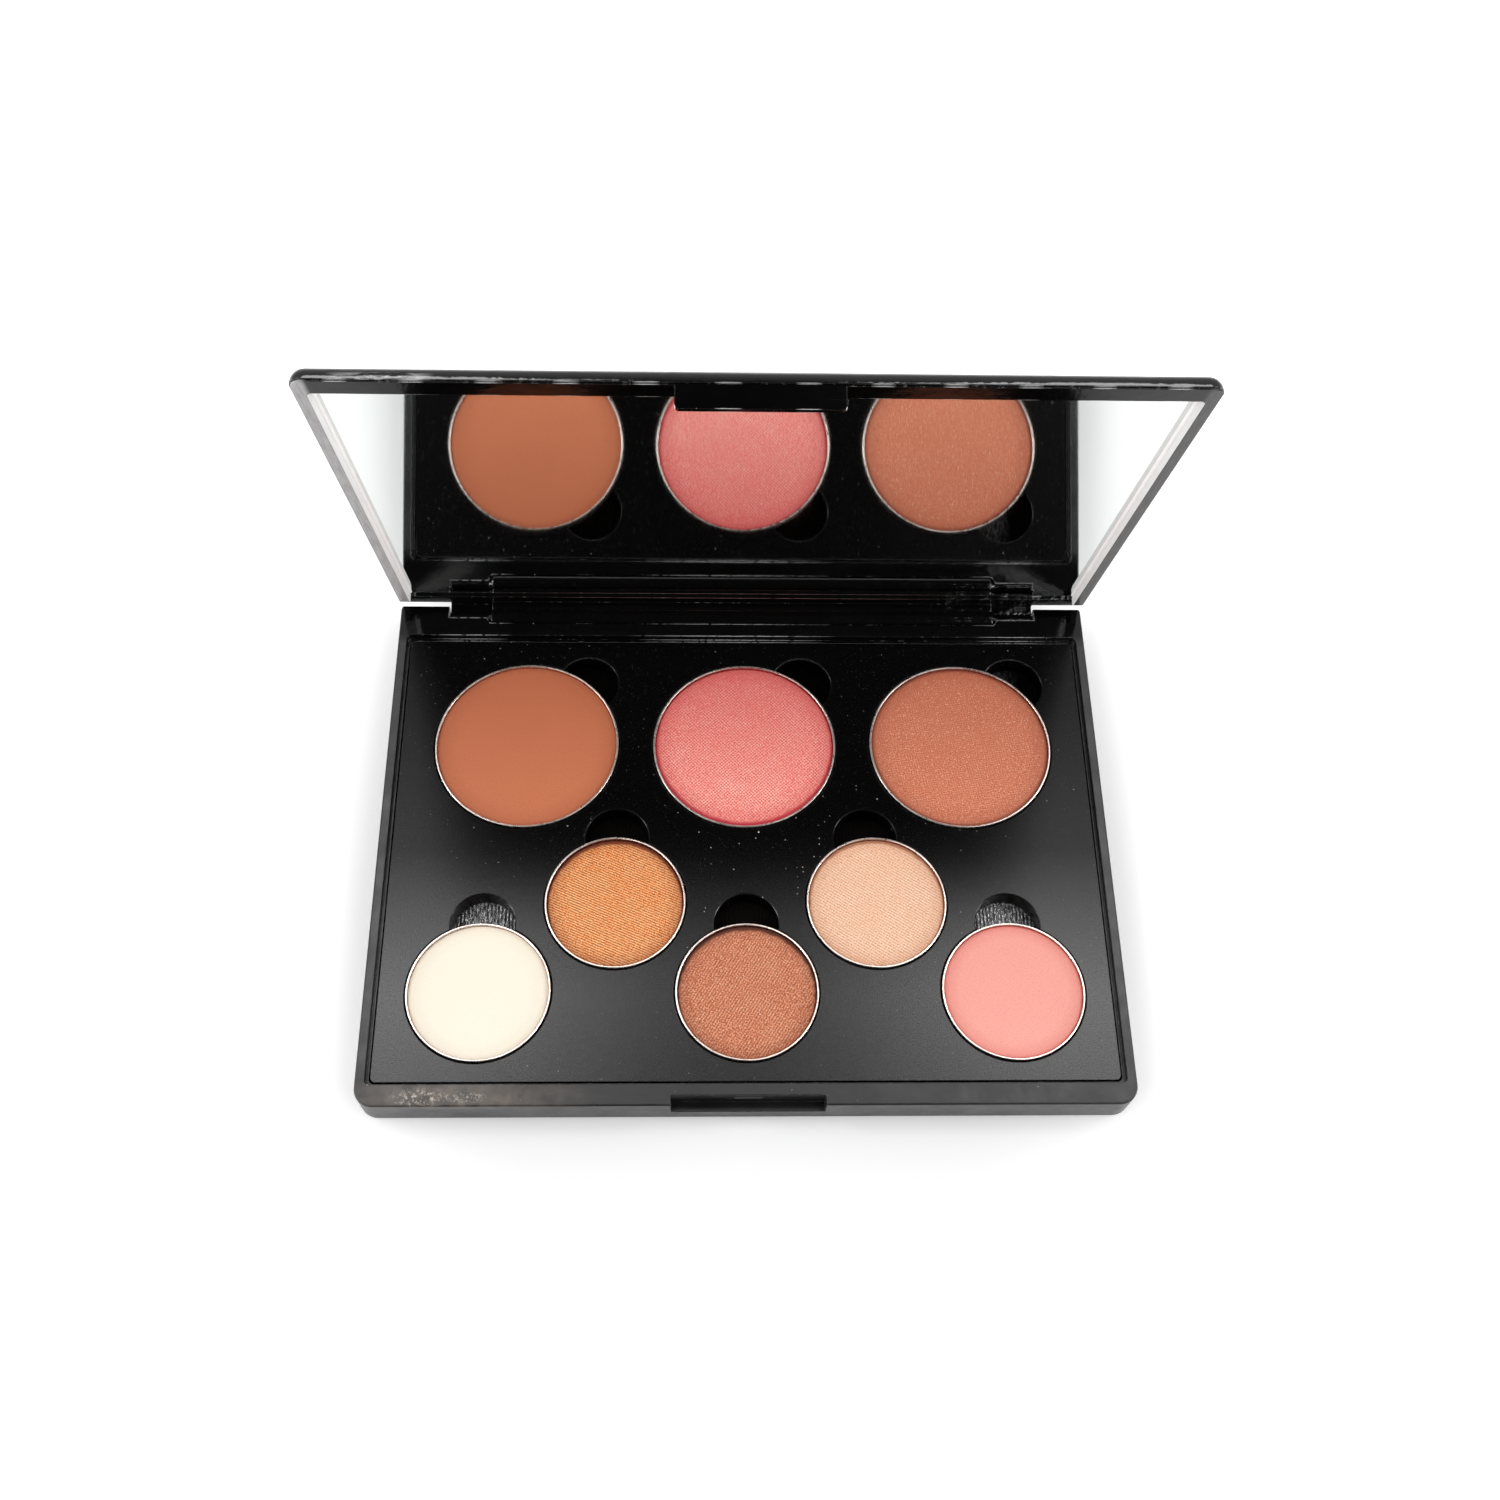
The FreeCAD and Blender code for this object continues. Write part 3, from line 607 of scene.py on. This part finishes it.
def dark_edge(nodes, style, tone, grain, centre, radius):
    """A cake's tone, darker towards its edge as painted shade by the pan's wall, ragged there and
    wider on one side.
    """
    apart = nodes.vector("MULTIPLY", nodes.vector("SUBTRACT", nodes.place, centre), (1, 1, 0))
    out = nodes.times(nodes.vector("LENGTH", apart), 1 / radius)
    out = nodes.math("ADD", out, nodes.times(grain, EDGE_RAGGED))
    # Painted shade: darker towards the pan's wall; the edge's own tone is partly chipped powder,
    # partly painted shade
    tone = nodes.mix(nodes.ramp(out, (0.78, 0.0), (0.96, 0.4)), tone, style["dark"])
    lean = style["lean"]
    if lean:
        behind = nodes.math("SUBTRACT", nodes.along("Y"), centre.y)
        clumps = nodes.centred(nodes.noise(CLUMP_SIZE, 3.0, 0.6))
        clumps = nodes.times(clumps, CLUMP_SHARE * abs(lean))
        out = nodes.math("ADD", out, nodes.math("ADD", nodes.times(behind, lean / radius), clumps))
    return nodes.mix(nodes.ramp(out, (0.955, 0.0), (0.985, 0.95)), tone, style["edge"])


def powder_cake(name, style):
    """Pressed powder: a cloudy tone with the press cloth's weave, grain and sparkle, and painted
    shade on the weave, towards the hinge and at the edge.
    """
    nodes = Nodes("powder_" + name)
    low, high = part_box("powder_" + name)
    centre = (low + high) / 2 / MM
    radius = (high.x - low.x) / 2 / MM
    cloud = nodes.noise(CLOUD_SIZE, 4.0, 0.6)
    grain = nodes.centred(nodes.noise(GRAIN_SIZE, 2.0, 0.7))
    worn = nodes.times(nodes.ramp(cloud, (0.35, 0.45), (0.65, 1.0)), style["weave"])
    rise = nodes.times(nodes.centred(press_weave(nodes, style)), worn)
    lumps = nodes.times(grain, style["grain"] * GRAIN_RISE)
    height = nodes.math("ADD", nodes.math("ADD", rise, lumps), 0.5)
    # Tone follows the height: grain varies it at random, and the weave's sunken and raised parts
    # get painted shade and painted highlight
    stops = ((0.12, style["dark"]), (0.50, style["tone"]), (0.88, style["light"]))
    tone = nodes.ramp(height, *stops)
    tone = nodes.mix(nodes.ramp(cloud, (0.45, 0.0), (0.75, 0.12)), tone, style["light"])
    # Painted shade: darker towards the hinge, as much as the style's shade
    back = nodes.math("SUBTRACT", nodes.along("Y"), centre.y - radius)
    back = nodes.ramp(nodes.times(back, 0.5 / radius), (0.25, 0.0), (1.0, 1.0))
    tone = nodes.mix(nodes.times(back, style["shade"]), tone, style["dark"])
    if style["sparkle"]:
        glints = nodes.times(nodes.dust(*SPARKLE_DUST), style["sparkle"])
        tone = nodes.mix(glints, tone, SPARKLE_TONE)
    tone = dark_edge(nodes, style, tone, grain, centre, radius)
    depth = PRINT_DEPTH * max(style["weave"], style["grain"])
    nodes.set(Base_Color=tone, Normal=nodes.bump(height, depth))
    nodes.set(Roughness=POWDER_ROUGHNESS, Specular_IOR_Level=POWDER_SHEEN)
    return nodes.material


def dress(material, *names):
    """Gives CAD nodes a material."""
    for name in names:
        for slot in NODES[name].material_slots:
            slot.material = material


def new_piece(name, mesh, material, body, replaced):
    """A piece of the object, from a mesh in the rest pose's place."""
    mesh.materials.append(material)
    piece = bpy.data.objects.new(name, mesh)
    bpy.context.scene.collection.objects.link(piece)
    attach(piece, body)
    if replaced:
        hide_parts(replaced)


def finished_mesh(name, made):
    mesh = bpy.data.meshes.new(name)
    made.to_mesh(mesh)
    made.free()
    return mesh


# Powder cakes: sides and rings of the mesh; dish, worn edge and rounded heel in millimetres;
# how much wider a notched edge is worn, how much its width waves, and the notches' middle;
# the shoulder's shares of the inset and drops in edge widths
CAKE_SIDES = 240
CAKE_RINGS = 14
CAKE_DISH = 0.06
CAKE_EDGE = 0.15
CAKE_HEEL = 0.36
CAKE_NOTCH_WEAR = 1.1
CAKE_WAVES = 4
CAKE_WAVE_SHARE = 0.2
CAKE_NOTCH_MIDDLE = 0.3
CAKE_SHOULDER = ((0.4, 0.6), (0.0, 1.6))


def cake_mesh(name, style, seed):
    """A closed powder cake: a slightly dished top, a worn and notched edge, a plain underside."""
    low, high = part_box("powder_" + name)
    centre = (low + high) / 2
    radius = (high.x - low.x) / 2
    top = high.z
    draw = random.Random(seed)
    phases = [(draw.uniform(0, math.tau), draw.randint(3, 11)) for _ in range(CAKE_WAVES)]
    bites = [draw.random() for _ in range(CAKE_SIDES)]
    notch = style["notch"]
    edge = CAKE_EDGE + CAKE_NOTCH_WEAR * notch
    made = bmesh.new()
    crown = made.verts.new((centre.x, centre.y, top - CAKE_DISH * MM))
    rings = []

    def inset(side):
        """How far the top's edge stands in from the pan's wall."""
        angle = math.tau * side / CAKE_SIDES
        waves = sum(math.sin(count * angle + phase) for phase, count in phases) / len(phases)
        bite = notch * (bites[side] - CAKE_NOTCH_MIDDLE)
        return MM * (edge + CAKE_WAVE_SHARE * edge * waves + bite)

    def add_ring(reach_of, z):
        """A ring of points at a height, each as far out as reach_of says for its side."""
        ring = []
        for side in range(CAKE_SIDES):
            angle = math.tau * side / CAKE_SIDES
            reach = reach_of(side)
            x = centre.x + reach * math.cos(angle)
            y = centre.y + reach * math.sin(angle)
            ring.append(made.verts.new((x, y, z)))
        rings.append(ring)

    for step in range(1, CAKE_RINGS + 1):
        share = step / CAKE_RINGS
        dish = CAKE_DISH * MM * (1 - share**4)
        add_ring(lambda side: (radius - inset(side)) * share, top - dish)
    for shrink, drop in CAKE_SHOULDER:
        add_ring(lambda side: radius - inset(side) * shrink, top - drop * edge * MM)
    heel = CAKE_HEEL * MM
    add_ring(lambda side: radius, low.z + heel)
    add_ring(lambda side: radius - heel, low.z)
    for side in range(CAKE_SIDES):
        after = (side + 1) % CAKE_SIDES
        made.faces.new((crown, rings[0][side], rings[0][after]))
        for inner, outer in zip(rings, rings[1:]):
            made.faces.new((inner[side], outer[side], outer[after], inner[after]))
    made.faces.new(list(reversed(rings[-1])))
    for face in made.faces:
        face.smooth = True
    return finished_mesh("cake_" + name, made)


# Crumbs on the middle large cake: how many, the middle and spread of their arc in degrees, how far
# they lie from the pan's wall and how big they are in millimetres, how they are stretched and lumpy
CRUMBS = 46
CRUMB_ARC = (-95.0, 62.0)
CRUMB_INSET = (0.35, 1.3)
CRUMB_SIZE = (0.07, 0.20)
CRUMB_STRETCH = ((0.7, 1.6), (0.7, 1.2), (0.5, 0.8))
CRUMB_LUMPS = (0.8, 1.2)
CRUMB_LIFT = 0.2


def crumbs_mesh(name, seed):
    """Crumbs broken from a cake's edge, lying on it along the front and the sides."""
    low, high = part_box("powder_" + name)
    centre = (low + high) / 2
    radius = (high.x - low.x) / 2
    draw = random.Random(seed)
    made = bmesh.new()
    for _ in range(CRUMBS):
        angle = math.radians(draw.gauss(*CRUMB_ARC))
        reach = radius - draw.uniform(*CRUMB_INSET) * MM
        size = draw.uniform(*CRUMB_SIZE) * MM
        x = centre.x + reach * math.cos(angle)
        y = centre.y + reach * math.sin(angle)
        place = Vector((x, y, high.z + CRUMB_LIFT * size))
        turn = Matrix.Rotation(draw.uniform(0, math.tau), 4, "Z")
        stretch = Matrix.Diagonal((*[draw.uniform(*span) for span in CRUMB_STRETCH], 1.0))
        lump = bmesh.ops.create_icosphere(made, subdivisions=1, radius=size)
        for vert in lump["verts"]:
            vert.co = place + turn @ stretch @ (vert.co * draw.uniform(*CRUMB_LUMPS))
    return finished_mesh("crumbs_" + name, made)


# Magnetic sheet's ridges: pitch and rise in millimetres, and steps in each
RIDGE_PITCH = 0.68
RIDGE_RISE = 0.12
RIDGE_STEPS = 4


def sheet_mesh():
    """The magnetic sheet with its fine ridges, which run towards the hinge."""
    low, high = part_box("magnet_sheet")
    count = round((high.x - low.x) / (RIDGE_PITCH * MM))
    steps = count * RIDGE_STEPS
    made = bmesh.new()
    rows = []
    for step in range(steps + 1):
        x = low.x + (high.x - low.x) * step / steps
        wave = 0.5 + 0.5 * math.cos(math.tau * step / RIDGE_STEPS)
        top = high.z - RIDGE_RISE * MM * (1 - wave)
        rows.append([made.verts.new((x, y, z)) for z in (top, low.z) for y in (low.y, high.y)])
    for here, there in zip(rows, rows[1:]):
        ridge = made.faces.new((here[0], there[0], there[1], here[1]))
        ridge.smooth = True
        made.faces.new((here[3], there[3], there[2], here[2]))
        made.faces.new((here[2], there[2], there[0], here[0]))
        made.faces.new((here[1], there[1], there[3], here[3]))
    first, last = rows[0], rows[-1]
    made.faces.new((first[0], first[1], first[3], first[2]))
    made.faces.new((last[2], last[3], last[1], last[0]))
    return finished_mesh("ridged_sheet", made)


# Bead along the mirror's sides: its gap to mirror and wall, its reach, and how near the mirror's
# edge a point counts as on it, in millimetres; steps of its round side
BEAD_GAP = 0.01
BEAD_REACH = 0.45
BEAD_NEAR = 0.01
BEAD_TURNS = 5


def bead_mesh(side):
    """A thin bead in the corner between the mirror and one side wall of its frame."""
    out = Vector((0, -math.sin(LID_OPENING), -math.cos(LID_OPENING)))
    up = Vector((0, -math.cos(LID_OPENING), math.sin(LID_OPENING)))
    points = [v.co for v in NODES["mirror"].data.vertices]
    face = max(p.dot(out) for p in points)
    edge = max(p.x * side for p in points)
    ends = [p.dot(up) for p in points if p.x * side > edge - BEAD_NEAR * MM]
    shape = [(0.0, 0.0)]
    for turn in range(BEAD_TURNS + 1):
        angle = math.radians(90 * turn / BEAD_TURNS)
        shape.append((BEAD_REACH * math.sin(angle), BEAD_REACH * math.cos(angle)))
    made = bmesh.new()
    loops = []
    for end in (min(ends), max(ends)):
        loop = []
        for across, rise in shape:
            place = up * end + out * (face + (rise + BEAD_GAP) * MM)
            place.x = side * (edge - (across + BEAD_GAP) * MM)
            loop.append(made.verts.new(place))
        loops.append(loop)
    made.faces.new(loops[0])
    made.faces.new(list(reversed(loops[1])))
    for here in range(len(shape)):
        after = (here + 1) % len(shape)
        made.faces.new((loops[0][here], loops[0][after], loops[1][after], loops[1][here]))
    bmesh.ops.recalc_face_normals(made, faces=made.faces)
    return finished_mesh("mirror_bead", made)


# Edges of the CAD nodes that turn more than this are kept sharp
SHARP_ANGLE = math.radians(28)


def smooth_round_faces():
    """Shades the CAD nodes' round faces smooth and keeps their edges sharp."""
    for piece in NODES.values():
        piece.data.shade_smooth()
        piece.data.set_sharp_from_angle(angle=SHARP_ANGLE)


# Camera, fitted to the photograph: place and lens in millimetres, angles in degrees
CAMERA_PLACE = (-9.03, -132.535, 299.12)
CAMERA_PITCH = 62.44
CAMERA_YAW = 3.817
CAMERA_ROLL = 3.537
CAMERA_LENS = 39.906
CAMERA_CLIP = 0.01


def add_camera():
    """A camera that looks down by its pitch, aside by its yaw, and is tilted by its roll."""
    pitch, yaw, roll = (math.radians(a) for a in (CAMERA_PITCH, CAMERA_YAW, CAMERA_ROLL))
    flat = math.cos(pitch)
    ahead = Vector((math.sin(yaw) * flat, math.cos(yaw) * flat, -math.sin(pitch)))
    level = Vector((math.cos(yaw), -math.sin(yaw), 0))
    below = ahead.cross(level)
    right = level * math.cos(roll) - below * math.sin(roll)
    down = level * math.sin(roll) + below * math.cos(roll)
    turn = Matrix((right, -down, -ahead)).transposed().to_4x4()
    data = bpy.data.cameras.new("camera")
    data.lens = CAMERA_LENS
    data.clip_start = CAMERA_CLIP
    camera = bpy.data.objects.new("camera", data)
    camera.matrix_world = Matrix.Translation(Vector(CAMERA_PLACE) * MM) @ turn
    bpy.context.scene.collection.objects.link(camera)
    bpy.context.scene.camera = camera


# Floor: half its width in metres and its tone; how much painted glow lifts it where it is seen,
# from near the palette to far from it, the two distances in metres, and how the distance is
# stretched
FLOOR_HALF = 1.0
FLOOR_TONE = 0.86
FLOOR_LIFT = 0.12
FLOOR_WHITE = 1.0
FLOOR_NEAR = 0.085
FLOOR_FAR = 0.22
FLOOR_STRETCH = (1.6, 1.0, 1.0)


def seen_directly(nodes):
    """1 for camera, glossy and transmission rays, and 0 for the rest."""
    path = nodes.add("ShaderNodeLightPath").outputs
    either = nodes.math("MAXIMUM", path["Is Camera Ray"], path["Is Glossy Ray"])
    return nodes.math("MAXIMUM", either, path["Is Transmission Ray"])


def floor_paint():
    """Matte white, with a painted glow where it is seen: little near the palette, to white away
    from it.
    """
    material = bpy.data.materials.new("floor")
    material.use_nodes = True
    nodes = Tree(material.node_tree)
    kept = nodes.tree.nodes
    kept.remove(kept["Principled BSDF"])
    matte = nodes.add("ShaderNodeBsdfDiffuse", {"Color": grey(FLOOR_TONE)})
    place = nodes.add("ShaderNodeTexCoord").outputs["Object"]
    apart = nodes.vector("LENGTH", nodes.vector("MULTIPLY", place, FLOOR_STRETCH))
    # Painted glow: weak near the palette, stretched sideways
    lift = nodes.fade(apart, FLOOR_NEAR, FLOOR_FAR, FLOOR_LIFT, FLOOR_WHITE)
    glow = nodes.add("ShaderNodeEmission", {"Strength": nodes.times(seen_directly(nodes), lift)})
    both = nodes.add("ShaderNodeAddShader")
    nodes.feed(both.inputs[0], matte.outputs[0])
    nodes.feed(both.inputs[1], glow.outputs[0])
    nodes.feed(kept["Material Output"].inputs["Surface"], both.outputs[0])
    return material


def add_floor():
    """A white floor that keeps the palette's shadow."""
    made = bmesh.new()
    corners = ((-1, -1), (1, -1), (1, 1), (-1, 1))
    made.faces.new([made.verts.new((x * FLOOR_HALF, y * FLOOR_HALF, 0)) for x, y in corners])
    mesh = finished_mesh("floor", made)
    mesh.materials.append(floor_paint())
    floor = bpy.data.objects.new("floor", mesh)
    bpy.context.scene.collection.objects.link(floor)


# World: its strength in front and overhead, at the sides and back, and near the horizon; how fast
# it rises aside and behind, and between which shares; between which heights the horizon ends
WORLD_DIM = 0.03
WORLD_BRIGHT = 0.72
WORLD_WALL = 1.0
WORLD_SPREAD = 0.75
WORLD_RISE = (0.10, 0.70)
WORLD_HORIZON = (0.14, 0.30)


def add_world():
    """A pale room that is brightest near the horizon, and dim in front and overhead."""
    world = bpy.data.worlds.new("studio")
    bpy.context.scene.world = world
    world.use_nodes = True
    nodes = Tree(world.node_tree)
    way = nodes.add("ShaderNodeTexCoord").outputs["Generated"]
    way = nodes.add("ShaderNodeSeparateXYZ", {"Vector": way}).outputs
    aside = nodes.math("ABSOLUTE", way["X"])
    behind = nodes.math("MAXIMUM", way["Y"], 0.0)
    around = nodes.times(nodes.math("ADD", aside, behind), WORLD_SPREAD)
    room = nodes.fade(around, *WORLD_RISE, WORLD_DIM, WORLD_BRIGHT)
    wall = nodes.fade(way["Z"], *WORLD_HORIZON, WORLD_WALL, 0.0)
    background = nodes.tree.nodes["Background"].inputs
    nodes.feed(background["Strength"], nodes.math("MAXIMUM", room, wall))
    nodes.feed(background["Color"], grey(1.0))


# Lamps: name, place and aim in metres, width and height in metres, power in watts
LAMPS = (
    ("front_left", (-0.50, -0.42, 0.84), (0.0, 0.0, 0.0), 0.35, 0.35, 1.71),
    ("front_right", (0.46, -0.42, 0.84), (0.0, 0.0, 0.0), 0.35, 0.35, 1.61),
    ("left", (-0.75, 0.05, 0.75), (0.0, 0.0, 0.0), 0.45, 0.35, 2.61),
    ("right", (0.75, 0.05, 0.75), (0.0, 0.0, 0.0), 0.45, 0.35, 2.43),
    ("low_left", (-0.95, -0.14, 0.13), (0.0, 0.04, 0.05), 0.30, 0.16, 3.6),
    ("low_right", (0.95, -0.14, 0.13), (0.0, 0.04, 0.05), 0.30, 0.16, 3.4),
)

# Glowing cards behind the palette that show only in its sheen, in the same order
CARDS = (
    ("back_left", (-0.24, 0.32, 0.93), (0.0, 0.0, 0.0), 0.28, 0.24, 1.7),
    ("back_right", (0.28, 0.32, 0.93), (0.0, 0.0, 0.0), 0.28, 0.24, 1.7),
)


def add_lamp(name, place, aim, width, height, power):
    data = bpy.data.lights.new(name, "AREA")
    data.shape = "RECTANGLE"
    data.size = width
    data.size_y = height
    data.energy = power
    lamp = bpy.data.objects.new(name, data)
    lamp.location = place
    lamp.rotation_euler = (Vector(aim) - Vector(place)).to_track_quat("-Z", "Y").to_euler()
    bpy.context.scene.collection.objects.link(lamp)
    return lamp


def add_lamps():
    for row in LAMPS:
        add_lamp(*row)
    for row in CARDS:
        add_lamp(*row).visible_diffuse = False


def add_powders():
    """The cake in each pan, and the crumbs on the middle large one."""
    for seed, name in enumerate(PLACES):
        style = POWDERS[name]
        pan, slot = "pan_" + name, "powder_" + name
        mesh = cake_mesh(name, style, seed)
        powder = powder_cake(name, style)
        new_piece("cake_" + name, mesh, powder, pan, slot)
        if name == "large_middle":
            new_piece("crumbs_" + name, crumbs_mesh(name, seed), powder, pan, None)


def main():
    smooth_round_faces()
    dress(tray_plastic(), "base_tray")
    dress(lid_plastic(), "lid_cover")
    dress(frame_plastic(), "mirror_frame")
    dress(panel_plastic(), "insert_panel")
    dress(mirror_glass(), "mirror")
    dress(tape_paper(), "mirror_tape")
    dress(pin_steel(), "hinge_pin_left", "hinge_pin_right")
    dress(pan_metal(), *["pan_" + name for name in PLACES])
    sheet = sheet_mesh()
    new_piece("ridged_sheet", sheet, magnet_rubber(), "base", "magnet_sheet")
    for side, name in ((-1, "mirror_bead_left"), (1, "mirror_bead_right")):
        new_piece(name, bead_mesh(side), bead_paste(), "lid", None)
    add_powders()
    add_floor()
    add_world()
    add_lamps()
    add_camera()
    bpy.context.scene.view_settings.view_transform = "Standard"


main()
